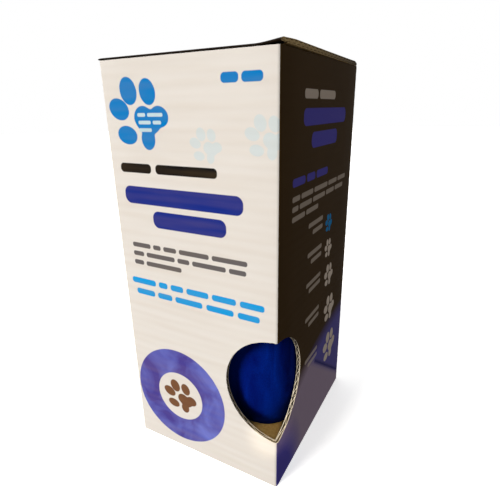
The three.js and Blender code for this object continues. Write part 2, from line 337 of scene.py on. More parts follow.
KRAFT = colour(0.80, 0.68, 0.45)
KRAFT_DARK = colour(0.66, 0.53, 0.31)
# Cut paper: paler kraft, painted lighter still as painted light where the cuts lie in the front wall's
# shade.
CUT_PALE_LIT = colour(0.95, 0.91, 0.83)
CUT_DEEP_LIT = colour(0.80, 0.73, 0.61)
# Darker kraft as painted shade in the flute hollows of the cut board.
SHADED_FLUTE_PALE = colour(0.50, 0.42, 0.29)
SHADED_FLUTE_DEEP = colour(0.34, 0.27, 0.17)
OLIVE = colour(0.84, 0.72, 0.47)
OLIVE_DARK = colour(0.66, 0.52, 0.30)
WARM_WHITE = colour(0.885, 0.862, 0.835)
BROWN_BLACK = colour(0.125, 0.085, 0.045)
BROWN_DEEP = colour(0.09, 0.065, 0.045)
SIDE_BROWN = colour(0.275, 0.20, 0.105)
SIDE_BROWN_WORN = colour(0.30, 0.22, 0.12)
PAW_BLUE = colour(0.02, 0.48, 0.76)
PALE_BLUE = colour(0.76, 0.85, 0.88)
TITLE_BLUE = colour(0.11, 0.18, 0.52)
LIGHT_BLUE = colour(0.10, 0.60, 0.86)
TEXT_GREY = colour(0.40, 0.38, 0.38)
TEXT_BLACK = colour(0.10, 0.09, 0.09)
RING_VIOLET = colour(0.30, 0.26, 0.57)
RING_LIGHT = colour(0.43, 0.47, 0.80)
PAW_BROWN = colour(0.46, 0.31, 0.22)
SIDE_VIOLET = colour(0.34, 0.31, 0.68)
SIDE_GREY_VIOLET = colour(0.66, 0.58, 0.66)
SIDE_SHADE_VIOLET = colour(0.38, 0.35, 0.63)
SIDE_CREAM = colour(0.88, 0.81, 0.74)
SIDE_BLUE = colour(0.14, 0.55, 0.80)
SIDE_DARK_BLUE = colour(0.12, 0.12, 0.42)
PLUSH_DEEP = colour(0.0, 0.04, 0.36)
PLUSH_BRIGHT = colour(0.0, 0.17, 0.60)
PLUSH_ROOT = colour(0.0, 0.01, 0.24)
PLUSH_SHEEN = colour(0.05, 0.30, 0.95)
FUZZ = colour(0.13, 0.13, 0.15)

# Scales of the noises and the weave, per metre
FIBRE_SCALE = 900
WEAVE_SCALE = 1800
KRAFT_CLOUDS = 60
RING_CLOUDS = 70
SIDE_CLOUDS = 40
PRINT_STREAKS = 260
PRINT_GRAIN = 1500
LID_CLOUDS = 50
LID_GRAIN = 1400
PLUSH_STREAKS = 170
PLUSH_PILE = 2600
FILM_HAZE = 120
VALVE_HAZE = 400


def kraft_finish(name="kraft_board", light=KRAFT, dark=KRAFT_DARK):
    kraft = Finish(name, 0.85)
    fibres = kraft.noise(FIBRE_SCALE, detail=4, stretch=(1, 1, 3))
    clouds = kraft.noise(KRAFT_CLOUDS)
    base = kraft.blend(kraft.ramp(fibres, 0.3, 0.75), dark, light)
    base = kraft.blend(kraft.math("MULTIPLY", kraft.ramp(clouds, 0.35, 0.8), 0.35), base, dark)
    return kraft.finish(base, kraft.bump(fibres, strength=0.3, distance=0.00008))


def lid_edge_finish():
    """The lid's cut edge: bare olive kraft in front, inked over towards the hinge."""
    edge = Finish("lid_edge", 0.85)
    fibres = edge.noise(FIBRE_SCALE, detail=4, stretch=(1, 3, 1))
    base = edge.blend(edge.ramp(fibres, 0.3, 0.75), OLIVE_DARK, OLIVE)
    to_hinge = edge.ramp(edge.axis(edge.place, 1), -OUT_Y * MM, OUT_Y * MM)
    base = edge.blend(edge.math("MULTIPLY", to_hinge, 0.85), base, BROWN_BLACK)
    return edge.finish(base, edge.bump(fibres, strength=0.3, distance=0.00008))


# Each figure is a distance in millimetres, below zero inside. U runs to the right and W down.

# A paw's toes and pad: middle and half sizes as shares of its width, and their tilt in degrees
PAW_TOES = (
    (-0.130, -0.281, 0.140, 0.174, -20),
    (0.189, -0.264, 0.128, 0.162, -18),
    (-0.321, -0.060, 0.179, 0.132, 20),
    (-0.215, 0.268, 0.172, 0.119, 8),
)
PAW_PAD = (
    (0.087, 0.047, 0.153, 0.145, 0),
    (0.351, 0.034, 0.149, 0.128, 15),
    (0.143, 0.311, 0.115, 0.140, 0),
    (0.181, 0.106, 0.190, 0.150, 0),
)
PAD_SOFTNESS = 0.06
BAR_CORNER = 0.42


def ellipse(finish, flat, u, w, half_u, half_w, tilt):
    place = finish.mapped(flat, (u, w, 0), tilt, (half_u, half_w, 1))
    reach = finish.vector("LENGTH", place, output=1)
    size = min(half_u, half_w)
    return finish.math("MULTIPLY_ADD", reach, size, -size)


def union(finish, figures):
    joined = figures[0]
    for figure in figures[1:]:
        joined = finish.math("MINIMUM", joined, figure)
    return joined


def lobes(finish, flat, u, w, width, shapes):
    return [
        ellipse(finish, flat, u + a * width, w + b * width, c * width, d * width, tilt)
        for a, b, c, d, tilt in shapes
    ]


def paw(finish, flat, u, w, width):
    pad, *others = lobes(finish, flat, u, w, width, PAW_PAD)
    for lobe in others:
        pad = finish.math("SMOOTH_MIN", pad, lobe, PAD_SOFTNESS * width)
    return union(finish, [pad, *lobes(finish, flat, u, w, width, PAW_TOES)])


def bar(finish, flat, u_from, u_to, w, height, corner):
    middle = ((u_from + u_to) / 2, w, 0)
    half = ((u_to - u_from) / 2 - corner, height / 2 - corner, 0)
    offset = finish.vector("ABSOLUTE", finish.vector("SUBTRACT", flat, middle))
    beyond = finish.vector("MAXIMUM", finish.vector("SUBTRACT", offset, half), (0, 0, 0))
    return finish.math("SUBTRACT", finish.vector("LENGTH", beyond, output=1), corner)


def bars(finish, flat, rows):
    """Rounded bars, one for each word: rows of (W, height, ((U from, U to), ...))."""
    return union(finish, [
        bar(finish, flat, u_from, u_to, w, height, height * BAR_CORNER)
        for w, height, words in rows
        for u_from, u_to in words
    ])


def inked(finish, base, figure, ink, edge=0.12, strength=1.0):
    share = finish.ramp(figure, edge, -edge)
    if strength < 1:
        share = finish.math("MULTIPLY", share, strength)
    return finish.blend(share, base, ink)


FRONT_THIN_ROW = ((36.4, 3.4, ((5, 19.6), (21.6, 47.6))),)
FRONT_TITLE = (
    (46.4, 6.6, ((5.7, 57.2),)),
    (55.0, 6.4, ((18.4, 50.4),)),
)
FRONT_GREY_ROWS = (
    (66.3, 1.9, ((6.6, 15.6), (16.9, 20.6), (21.9, 28.0), (29.3, 42.6), (43.9, 58.3))),
    (69.9, 1.9, ((6.6, 11.9), (13.2, 27.0), (28.3, 33.8), (35.1, 49.6), (50.9, 57.8))),
    (73.6, 1.9, ((6.6, 11.4), (12.7, 29.9))),
)
FRONT_BLUE_ROWS = (
    (81.8, 2.5, ((4.2, 16.5), (18.0, 22.4), (23.9, 30.0), (31.5, 41.6), (43.1, 53.4), (55.0, 64.8))),
    (86.5, 2.5, ((6.1, 15.6), (17.1, 24.3), (25.8, 38.6), (40.4, 52.3), (54.0, 62.9))),
)
SIZE_BAR = ((7.6, 3.0, ((50.2, 56.4), (57.4, 64.6))),)
FRONT_BLUE_PAW = (15.9, 17.7, 26.7)
FRONT_PALE_PAWS = ((43.6, 27.6, 12.5), (65.4, 24.6, 14.5))
PAW_BARS = (
    (18.0, 1.2, ((15.7, 19.2), (20.1, 26.8))),
    (20.5, 1.2, ((15.9, 21.4), (22.3, 25.9))),
    (23.0, 1.2, ((15.9, 21.6),)),
)
RING_MIDDLE = (24.0, 133.0)
RING_RADIUS = 22.6
RING_HOLE = 11.5
RING_PAW = 17
BACK_PAW = (OUT_X, 40, 26)

SIDE_THIN_ROW = ((12.1, 3.0, ((19.0, 31.6), (33.2, 50.8))),)
SIDE_TITLE = (
    (19.4, 5.6, ((18.6, 65.6),)),
    (27.2, 5.4, ((26.6, 55.2),)),
)
SIDE_HEADING = ((39.8, 2.8, ((10.4, 21.6), (23.2, 31.4), (33.0, 45.6))),)
SIDE_TEXT = (
    (45.3, 1.9, ((10.4, 17.2), (18.4, 30.0), (31.2, 46.2), (47.4, 58.4), (59.6, 70.4))),
    (48.7, 1.9, ((10.4, 15.8), (17.0, 28.8), (30.0, 43.6), (44.8, 55.0), (56.2, 67.3))),
    (52.2, 1.9, ((10.4, 22.2), (23.4, 36.1))),
)
# The rows beside the paws: middle W and where the bar starts. They all end at one U
SIDE_ROW_HEIGHT = 1.9
SIDE_ROW_END = 42.4
SIDE_ROW_STARTS = (
    (58.3, 26.4), (61.7, 31.0), (70.2, 26.4), (73.6, 30.2), (82.8, 26.0),
    (85.9, 29.0), (98.3, 26.2), (101.7, 30.0), (118.8, 27.4), (122.2, 31.0),
)
SIDE_ROWS = tuple((w, SIDE_ROW_HEIGHT, ((start, SIDE_ROW_END),)) for w, start in SIDE_ROW_STARTS)
# The violet area at the foot of the side: middle, half sizes and tilt
SIDE_HILL = (80, 175, 105, 61, 0)
SIDE_CORNER = (0, 160, 20, 22, 0)
# The fold that crosses it: middle, tilt, and its line as a bar from U to U at W, with height and corner
SIDE_FOLD_MIDDLE = (60, 140, 0)
SIDE_FOLD_TILT = 37
SIDE_FOLD_LINE = (-25, 26, 0, 1.4, 0.6)
# The first paw is blue and the others are cream: middle U, middle W and width
SIDE_BLUE_PAW = (50.5, 62.7, 8.8)
SIDE_CREAM_PAWS = (
    (51.5, 74.3, 9.4),
    (54.0, 87.8, 12.0),
    (57.5, 105.9, 15.0),
    (60.5, 127.9, 18.0),
)


def front_print(finish, flat):
    pale = union(finish, [paw(finish, flat, *place) for place in FRONT_PALE_PAWS])
    base = inked(finish, WARM_WHITE, pale, PALE_BLUE, strength=0.5)
    base = inked(finish, base, paw(finish, flat, *FRONT_BLUE_PAW), PAW_BLUE)
    for rows, ink in (
        (SIZE_BAR, PAW_BLUE),
        (PAW_BARS, PALE_BLUE),
        (FRONT_THIN_ROW, TEXT_BLACK),
        (FRONT_TITLE, TITLE_BLUE),
        (FRONT_GREY_ROWS, TEXT_GREY),
        (FRONT_BLUE_ROWS, LIGHT_BLUE),
    ):
        base = inked(finish, base, bars(finish, flat, rows), ink)
    return printed_ring(finish, flat, base)


def printed_ring(finish, flat, base):
    u, w = RING_MIDDLE
    disc = ellipse(finish, flat, u, w, RING_RADIUS, RING_RADIUS, 0)
    hole = ellipse(finish, flat, u, w, RING_HOLE, RING_HOLE, 0)
    ring = finish.math("MAXIMUM", disc, finish.math("MULTIPLY", hole, -1))
    light = finish.ramp(finish.noise(RING_CLOUDS, distortion=0.6), 0.35, 0.7)
    violet = finish.blend(light, RING_VIOLET, RING_LIGHT)
    base = inked(finish, base, ring, violet)
    return inked(finish, base, paw(finish, flat, u, w, RING_PAW), PAW_BROWN)


def side_print(finish, flat):
    clouds = finish.ramp(finish.noise(SIDE_CLOUDS, detail=2), 0.3, 0.8)
    base = finish.blend(clouds, SIDE_BROWN, SIDE_BROWN_WORN)
    over_fold, fold = folded(finish, flat)
    violet = finish.blend(finish.ramp(over_fold, -1.5, 3), SIDE_SHADE_VIOLET, SIDE_GREY_VIOLET)
    violet = inked(finish, violet, ellipse(finish, flat, *SIDE_CORNER), SIDE_VIOLET, 7)
    base = inked(finish, base, ellipse(finish, flat, *SIDE_HILL), violet, 4)
    base = inked(finish, base, fold, SIDE_DARK_BLUE, 0.8)
    base = inked(finish, base, bars(finish, flat, SIDE_TITLE + SIDE_HEADING), SIDE_VIOLET)
    base = inked(finish, base, bars(finish, flat, SIDE_THIN_ROW), SIDE_CREAM, strength=0.75)
    base = inked(finish, base, bars(finish, flat, SIDE_TEXT + SIDE_ROWS), SIDE_CREAM, strength=0.5)
    base = inked(finish, base, paw(finish, flat, *SIDE_BLUE_PAW), SIDE_BLUE)
    cream = union(finish, [paw(finish, flat, *place) for place in SIDE_CREAM_PAWS])
    return inked(finish, base, cream, SIDE_CREAM)


def folded(finish, flat):
    """Distance past the diagonal fold in the violet area, and the fold's own line."""
    place = finish.mapped(flat, SIDE_FOLD_MIDDLE, SIDE_FOLD_TILT)
    return finish.axis(place, 1), bar(finish, place, *SIDE_FOLD_LINE)


def wall_coordinates(finish, axis, start):
    """Millimetres across one wall from its left edge, seen from outside, and down from its top."""
    place = finish.vector("MULTIPLY", finish.place, (1 / MM, 1 / MM, 1 / MM))
    across = finish.math("ADD", finish.axis(place, axis), start)
    down = finish.math("SUBTRACT", HEIGHT, finish.axis(place, 2))
    return finish.node("CombineXYZ", {0: across, 1: down})


def printed_finish(name, draw, axis, start, streak):
    """The outside of one wall: its print, faint streaks along the flutes and paper grain."""
    printed = Finish(name, 0.6, Specular_IOR_Level=0.01)
    base = draw(printed, wall_coordinates(printed, axis, start))
    streaks = printed.noise(PRINT_STREAKS, detail=2, stretch=(0.12, 0.12, 1))
    flutes_per_metre = 1 / (FLUTE_PITCH * MM)
    turns = printed.math("MULTIPLY", printed.axis(printed.place, 2), 2 * math.pi * flutes_per_metre)
    crests = printed.math("SINE", turns)
    stain = printed.math("MULTIPLY_ADD", crests, 0.18, printed.ramp(streaks, 0.35, 0.75))
    base = printed.blend(printed.math("MULTIPLY", stain, streak), base, KRAFT_DARK)
    grain = printed.noise(PRINT_GRAIN)
    normal = printed.bump(streaks, strength=0.25, distance=0.00012)
    return printed.finish(base, printed.bump(grain, strength=0.15, distance=0.00004, after=normal))


def back_print(finish, flat):
    return inked(finish, WARM_WHITE, paw(finish, flat, *BACK_PAW), PALE_BLUE)


def dark_board_finish():
    dark = Finish("lid_board", 0.6, Specular_IOR_Level=0.04)
    clouds = dark.noise(LID_CLOUDS)
    base = dark.blend(dark.ramp(clouds, 0.3, 0.8), BROWN_BLACK, BROWN_DEEP)
    grain = dark.noise(LID_GRAIN)
    return dark.finish(base, dark.bump(grain, strength=0.2, distance=0.00005))


def plush_finish():
    plush = Finish(
        "blue_plush", 0.9,
        Sheen_Weight=0.04, Sheen_Roughness=0.35, Sheen_Tint=PLUSH_SHEEN, Specular_IOR_Level=0.03)
    streaks = plush.noise(PLUSH_STREAKS, detail=4, stretch=(1, 1, 0.22), distortion=0.5)
    pile = plush.noise(PLUSH_PILE)
    base = plush.blend(plush.ramp(streaks, 0.3, 0.72), PLUSH_DEEP, PLUSH_BRIGHT)
    base = plush.blend(plush.math("MULTIPLY", plush.ramp(pile, 0.35, 0.7), 0.4), base, PLUSH_ROOT)
    normal = plush.bump(streaks, strength=0.35, distance=0.0006)
    return plush.finish(base, plush.bump(pile, strength=0.5, distance=0.00025, after=normal))


def cloth_finish(name, thread, roughness=0.85):
    cloth = Finish(name, roughness, Sheen_Weight=0.15, Specular_IOR_Level=0.25)
    weave = cloth.node("TexChecker", {"Vector": cloth.place, "Scale": WEAVE_SCALE}, "Fac")
    fuzz = cloth.noise(FIBRE_SCALE)
    base = cloth.blend(cloth.ramp(fuzz, 0.3, 0.8), thread, FUZZ)
    normal = cloth.bump(weave, strength=0.4, distance=0.0001)
    return cloth.finish(base, cloth.bump(fuzz, strength=0.3, distance=0.0001, after=normal))


def plastic_finish(name, roughness, haze_scale, shade, light, relief, **values):
    """Soft plastic with a faint haze. Relief is its bump's strength and depth."""
    plastic = Finish(name, roughness, **values)
    haze = plastic.noise(haze_scale)
    base = plastic.blend(plastic.ramp(haze, 0.3, 0.8), shade, light)
    return plastic.finish(base, plastic.bump(haze, *relief))


FRONT_BOARD = printed_finish("front_board", front_print, 0, OUT_X, 0.09)
SIDE_BOARD = printed_finish("side_board", side_print, 1, OUT_Y, 0.008)
BACK_BOARD = printed_finish("back_board", back_print, 0, OUT_X, 0.09)
LID_BOARD = dark_board_finish()
KRAFT_BOARD = kraft_finish()
# Pale cut paper, painted lighter still as painted light.
PALE_LIT_CUT_BOARD = kraft_finish("pale_lit_cut_board", CUT_PALE_LIT, CUT_DEEP_LIT)
# A darker kraft copy as painted shade, for the faces inside the board seen in the flute hollows.
SHADED_FLUTE_BOARD = kraft_finish("shaded_flute_board", SHADED_FLUTE_PALE, SHADED_FLUTE_DEEP)
LID_EDGE = lid_edge_finish()
BLUE_PLUSH = plush_finish()
BLACK_CLOTH = cloth_finish("black_cloth", colour(0.09, 0.09, 0.105))
LOOP_TAPE = cloth_finish("loop_tape", colour(0.08, 0.08, 0.09), 0.95)
HOOK_TAPE = cloth_finish("hook_tape", colour(0.07, 0.07, 0.08), 0.6)
THREAD = cloth_finish("thread", colour(0.20, 0.20, 0.23), 0.7)
CLEAR_FILM = plastic_finish(
    "clear_film", 0.2, FILM_HAZE, colour(0.85, 0.90, 0.92), colour(0.95, 0.97, 0.98), (0.3, 0.0004),
    Transmission_Weight=0.85, IOR=1.45)
VALVE_PLASTIC = plastic_finish(
    "valve_plastic", 0.28, VALVE_HAZE, colour(0.80, 0.85, 0.88), colour(0.90, 0.93, 0.94), (0.1, 0.00005),
    Transmission_Weight=0.25, IOR=1.47, Coat_Weight=0.3)


# Carton: two liners with the wavy medium between them, and a window cut through all three

CORNER_STEPS = 6
WALL_STEPS = 6
SMALLEST_CORNER = 0.25
CUTTER_MARGIN = 1
FLOOR_GAP = 0.05
# The floor panel's edge from below: height, and how far in from the walls
FLOOR_LEVELS = ((0.1, 0.4), (0.1, 0.0), (BOARD - 0.1, 0.0), (BOARD, 0.1))


def wall_ring(inset):
    """Points round the walls, at a depth below their outer face."""
    radius = max(CREASE_RADIUS - inset, SMALLEST_CORNER)
    half_x = OUT_X - inset - radius
    half_y = OUT_Y - inset - radius
    corners = ((1, 1), (-1, 1), (-1, -1), (1, -1))

    def on_corner(index, turn):
        side_x, side_y = corners[index % 4]
        return side_x * half_x + radius * math.cos(turn), side_y * half_y + radius * math.sin(turn)

    points = []
    for index in range(4):
        for step in range(CORNER_STEPS + 1):
            points.append(on_corner(index, math.radians(90 * (index + step / CORNER_STEPS))))
        following = on_corner(index + 1, math.radians(90 * (index + 1)))
        points += points_between(points[-1], following, WALL_STEPS)
    return points


def flute(distance):
    return math.sin(2 * math.pi * distance / FLUTE_PITCH)


def wall_layer(name, samples, outer_inset, inner_inset, materials):
    """A closed layer of the walls between two depths, each a function of the height."""
    heights = [HEIGHT * step / samples for step in range(samples + 1)]
    loop = [(z, outer_inset(z)) for z in heights] + [(z, inner_inset(z)) for z in reversed(heights)]
    points = [(x, y, z) for z, inset in loop for x, y in wall_ring(inset)]
    faces = tube_faces(len(loop), len(points) // len(loop), closed_rows=True)
    return mesh_piece(name, points, faces, materials, "carton")


def window_cutter(x, y, turn):
    length = BOARD + 2 * CUTTER_MARGIN
    bpy.ops.mesh.primitive_cylinder_add(radius=WINDOW_RADIUS * MM, depth=length * MM, vertices=WINDOW_SIDES)
    cutter = bpy.context.object
    cutter.rotation_euler = turn
    cutter.location = Vector((x, y, WINDOW_HEIGHT)) * MM
    bpy.context.view_layer.update()
    return cutter


def cut_window(piece):
    """Cuts the window's round opening through the front wall and through the side wall."""
    for x, y, turn in (
        (OUT_X, -(OUT_Y + IN_Y) / 2, (math.pi / 2, 0, 0)),
        ((OUT_X + IN_X) / 2, -OUT_Y, (0, math.pi / 2, 0)),
    ):
        cutter = window_cutter(x, y, turn)
        modifier = piece.modifiers.new("cut", "BOOLEAN")
        modifier.object = cutter
        modifier.operation = "DIFFERENCE"
        modifier.solver = "MANIFOLD"
        with selected(piece):
            bpy.ops.object.modifier_apply(modifier=modifier.name)
        bpy.data.objects.remove(cutter)


def faces_out(polygon):
    normal = polygon.normal
    x, y, z = polygon.center / MM
    return abs(normal.z) < 0.5 and normal.x * x * OUT_Y + normal.y * y * OUT_X > 0


def along_wall(polygon):
    """Whether a face lies along its own wall, and isn't one of the window's cuts or a rim."""
    x, y, z = polygon.center / MM
    across = polygon.normal.y if abs(y) - OUT_Y > abs(x) - OUT_X else polygon.normal.x
    return abs(across) > 0.7


def ink_outside(piece):
    """Gives each wall's outer face its own print, pale cut paper painted lighter still as painted light to
    the cut edges, and darker kraft as painted shade to the inside of the board.
    """
    limit = 3 * WASHBOARD
    front, side, back, left, raw_lit, shaded_hollow = range(6)
    for polygon in piece.data.polygons:
        x, y, z = polygon.center / MM
        from_side = abs(x) - OUT_X
        from_front = abs(y) - OUT_Y
        outside = max(from_side, from_front)
        corner_x = abs(x) - (OUT_X - CREASE_RADIUS)
        corner_y = abs(y) - (OUT_Y - CREASE_RADIUS)
        if corner_x > 0 and corner_y > 0:
            outside = math.hypot(corner_x, corner_y) - CREASE_RADIUS
        # Cut edges get the pale cut paper, painted lighter still as painted light; faces inside the board
        # along the wall get darker kraft as painted shade.
        if outside < -limit or not faces_out(polygon):
            polygon.material_index = raw_lit if faces_out(polygon) or not along_wall(polygon) else shaded_hollow
        elif from_side > from_front:
            polygon.material_index = side if x > 0 else left
        else:
            polygon.material_index = back if y > 0 else front


def carton_walls():
    samples = round(HEIGHT / FLUTE_PITCH * FLUTE_SAMPLES)
    middle = BOARD / 2
    # Each layer's last two finishes: the cut paper, painted lighter still as painted light, and darker kraft
    # as painted shade inside the flutes.
    outer = wall_layer(
        "outer_liner", samples,
        lambda z: WASHBOARD * (1 - flute(z)), lambda z: LINER,
        (FRONT_BOARD, SIDE_BOARD, BACK_BOARD, LID_BOARD, PALE_LIT_CUT_BOARD, SHADED_FLUTE_BOARD))
    medium = wall_layer(
        "flute_medium", samples,
        lambda z: middle - MEDIUM / 2 + FLUTE_SWING * flute(z),
        lambda z: middle + MEDIUM / 2 + FLUTE_SWING * flute(z),
        (PALE_LIT_CUT_BOARD, SHADED_FLUTE_BOARD))
    inner = wall_layer(
        "inner_liner", samples // 4,
        lambda z: BOARD - LINER, lambda z: BOARD,
        (KRAFT_BOARD, PALE_LIT_CUT_BOARD, SHADED_FLUTE_BOARD))
    for piece in (outer, medium, inner):
        cut_window(piece)
        sharpen(piece)
    ink_outside(outer)
    bare_cut(inner)
    # Medium faces along the wall get darker kraft as painted shade; its cut edges get the pale cut paper,
    # painted lighter still as painted light.
    for polygon in medium.data.polygons:
        polygon.material_index = 1 if along_wall(polygon) else 0
    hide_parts("carton_sleeve")


def bare_cut(piece):
    """The window's cut in pale paper, painted lighter still as painted light, and darker kraft as painted
    shade on the faces inside the flutes.
    """
    inside, torn_lit, shaded_hollow = range(3)
    for polygon in piece.data.polygons:
        in_height = abs(polygon.center.z / MM - WINDOW_HEIGHT) < WINDOW_RADIUS + 0.1
        near_corner = polygon.center.x > 0 and polygon.center.y < 0
        if in_height and near_corner and not along_wall(polygon):
            polygon.material_index = torn_lit
        else:
            polygon.material_index = shaded_hollow if faces_out(polygon) else inside


def floor_panel():
    """The bottom panel, printed dark below and kraft above."""
    ring = wall_ring(BOARD + FLOOR_GAP)
    points = [(0, 0, FLOOR_LEVELS[0][0])]
    for z, inset in FLOOR_LEVELS:
        points += [(x * (1 - inset / OUT_X), y * (1 - inset / OUT_Y), z) for x, y in ring]
    points.append((0, 0, FLOOR_LEVELS[-1][0]))
    count = len(ring)
    faces = [tuple(index + 1 for index in face) for face in tube_faces(len(FLOOR_LEVELS), count)]
    last = 1 + count * (len(FLOOR_LEVELS) - 1)
    for column in range(count):
        side = (column + 1) % count
        faces.append((0, 1 + side, 1 + column))
        faces.append((len(points) - 1, last + column, last + side))
    panel = mesh_piece("floor_panel", points, faces, (KRAFT_BOARD, LID_BOARD), "carton")
    for polygon in panel.data.polygons:
        polygon.material_index = 1 if polygon.normal.z < -0.5 else 0
    sharpen(panel)


# Lid: the same board, creased round the front edge into the tuck flap

LID_LIFT = 0.75
LID_LIFT_FROM = 26
LIFT_ACROSS = 1.5
LIFT_FORWARD = 1.2
FLAP_OUTER_Y = -36.9
FLAP_FOOT = LID_UNDER - 12
FLAP_HALF = IN_X - 1.6
FLAP_CORNER = 4
LID_REST = HEIGHT + 0.15
CRUSHED_FRONT = 1.0
CRUSHED_BACK = 0.7
CRUSHED_RUN_FRONT = 1.6
CRUSHED_RUN_BACK = 5
CRUSHED_MEDIUM = 0.8
PRESSED_FRONT = 0.5
PRESSED_CORNER = 0.7
PRESSED_RUN = 12
LID_STATIONS = 48
LID_BACK = OUT_Y - 0.4
FLAP_INNER_Y = FLAP_OUTER_Y + BOARD
FLAP_BEND = 0.5
NOSE_STEPS = 12
BEND_STEPS = 5
UNDER_SPACING = 0.4
FLAP_SPACING = 0.5
STRIP_PROUD = 0.06
STRIP_THICKNESS = 0.2
STRIP_DOWN = 3
STRIP_ALONG = 5
FLUTE_SPACING = FLUTE_PITCH / FLUTE_SAMPLES


def lid_lift(x, y):
    """How far the lid's front right corner stands up."""
    across = max(0, (x - LID_LIFT_FROM) / (OUT_X - LID_LIFT_FROM)) ** LIFT_ACROSS
    towards_front = max(0, (OUT_Y - y) / (2 * OUT_Y)) ** LIFT_FORWARD
    return LID_LIFT * across * towards_front


def pressed(x, y):
    """The share of its thickness that the lid keeps, least along its front edge."""
    at_front = smooth(y, PRESSED_RUN - OUT_Y, -OUT_Y)
    kept = mix(PRESSED_FRONT, PRESSED_CORNER, smooth(x, LID_LIFT_FROM, OUT_X))
    return mix(1, kept, at_front)


def flap_half(z):
    """Half the tuck flap's width at a height, with its rounded lower corners."""
    above = z - FLAP_FOOT
    if above >= FLAP_CORNER:
        return FLAP_HALF
    return FLAP_HALF - FLAP_CORNER * (1 - math.sqrt(1 - (1 - max(above, 0) / FLAP_CORNER) ** 2))


def lid_half(y, z):
    if y > OUT_Y - CREASE_RADIUS:
        return OUT_X - CREASE_RADIUS
    return flap_half(z) if z < LID_REST - 0.3 else OUT_X


def swept(name, upper, lower, materials, slot, body="lid"):
    """A closed layer between two paths of the same length, swept across the lid."""
    loop = upper + lower[::-1]
    points = []
    for station in range(LID_STATIONS + 1):
        for y, z in loop:
            x = mix(-1, 1, station / LID_STATIONS) * lid_half(y, z)
            over = z - LID_REST
            kept = over * pressed(x, y) if over > 0 else over
            points.append((x, y, LID_REST + kept + lid_lift(x, y)))
    count = len(loop)
    faces = tube_faces(LID_STATIONS + 1, count)
    last = LID_STATIONS * count
    for index in range(len(upper) - 1):
        a, b = index, index + 1
        c, d = count - 2 - index, count - 1 - index
        faces.append((a, b, c, d))
        faces.append((last + d, last + c, last + b, last + a))
    piece = mesh_piece(name, points, faces, materials, body)
    fix_normals(piece)
    return piece


def offset_path(path, depth):
    """The same path, moved sideways to the left of its direction."""
    moved = []
    for index, (y, z) in enumerate(path):
        before = path[max(index - 1, 0)]
        after = path[min(index + 1, len(path) - 1)]
        run_y = after[0] - before[0]
        run_z = after[1] - before[1]
        length = math.hypot(run_y, run_z)
        moved.append((y - depth * run_z / length, z + depth * run_y / length))
    return moved


def crushed(y):
    """The lid's thickness: full in the middle, pressed thin at the creases front and back."""
    from_front = smooth(y, -OUT_Y, CRUSHED_RUN_FRONT - OUT_Y)
    from_back = smooth(y, OUT_Y, OUT_Y - CRUSHED_RUN_BACK)
    return mix(CRUSHED_FRONT, mix(CRUSHED_BACK, BOARD, from_back), from_front)


def lid_outside():
    """The lid's outer face from its back, round the nose of its front edge and down the tuck flap."""
    nose = CRUSHED_FRONT / 2
    nose_y = nose - OUT_Y
    path = [(y, LID_REST + crushed(y)) for y, z in path_line(LID_BACK, 0, nose_y + 0.1, 0)]
    path += path_arc(nose_y, LID_REST + nose, nose, 90, 270, NOSE_STEPS)
    path += path_line(nose_y + 0.2, LID_REST, FLAP_OUTER_Y - FLAP_BEND - 0.1, LID_REST, UNDER_SPACING)
    path += path_arc(FLAP_OUTER_Y - FLAP_BEND, LID_REST - FLAP_BEND, FLAP_BEND, 90, 0, BEND_STEPS)
    path += path_line(FLAP_OUTER_Y, LID_REST - 2 * FLAP_BEND, FLAP_OUTER_Y, FLAP_FOOT, FLAP_SPACING)
    return path


def lid_inside():
    """The lid's under face from its back, and down the inner face of the tuck flap."""
    path = path_line(LID_BACK, LID_REST, FLAP_INNER_Y + FLAP_BEND, LID_REST)
    path += path_arc(FLAP_INNER_Y + FLAP_BEND, LID_REST - FLAP_BEND, FLAP_BEND, 90, 180, BEND_STEPS)
    path += path_line(FLAP_INNER_Y, LID_REST - 2 * FLAP_BEND, FLAP_INNER_Y, FLAP_FOOT, FLAP_SPACING)
    return path


def lid_flutes():
    """The lower and the upper face of the lid's wavy medium."""
    lower = []
    upper = []
    for y, z in path_line(LID_BACK, 0, CRUSHED_FRONT / 2 - OUT_Y + 0.6, 0, FLUTE_SPACING):
        between = crushed(y) - 2 * LINER
        swing = max(between - CRUSHED_MEDIUM, 0) * (1 + flute(y)) / 2
        lower.append((y, LID_REST + LINER + swing))
        upper.append((y, LID_REST + LINER + swing + min(CRUSHED_MEDIUM, between)))
    return lower, upper


def flap_flutes():
    """The outer and the inner face of the tuck flap's wavy medium."""
    y = FLAP_INNER_Y - BOARD / 2
    line = path_line(y, LID_REST - 0.6, y, FLAP_FOOT, FLUTE_SPACING)
    outer = [(y + FLUTE_SWING * flute(z), z) for y, z in line]
    return outer, [(y + MEDIUM, z) for y, z in outer]


def carton_lid():
    outside = lid_outside()
    inside = lid_inside()
    outer = swept(
        "lid_outer_liner", outside, offset_path(outside, LINER), (LID_BOARD, LID_EDGE), "lid_board")
    inner = swept(
        "lid_inner_liner", inside, offset_path(inside, -LINER), (KRAFT_BOARD, LID_EDGE), "lid_board")
    panel = swept("lid_medium", *lid_flutes(), (LID_EDGE,), "lid_board")
    # The tuck flap's medium shows the pale cut paper, painted lighter still as painted light.
    flap = swept("tuck_flap_medium", *flap_flutes(), (PALE_LIT_CUT_BOARD,), "lid_board")
    for piece in (outer, inner, panel, flap):
        sharpen(piece)
    raw_edges(outer)
    raw_edges(inner)
    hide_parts("carton_lid")


def raw_edges(piece):
    """Cut ends show bare kraft: the faces that look along X, and the flap's lower edge."""
    for polygon in piece.data.polygons:
        at_foot = polygon.center.z < (FLAP_FOOT + 0.05) * MM
        polygon.material_index = 1 if abs(polygon.normal.x) > 0.8 or at_foot else 0


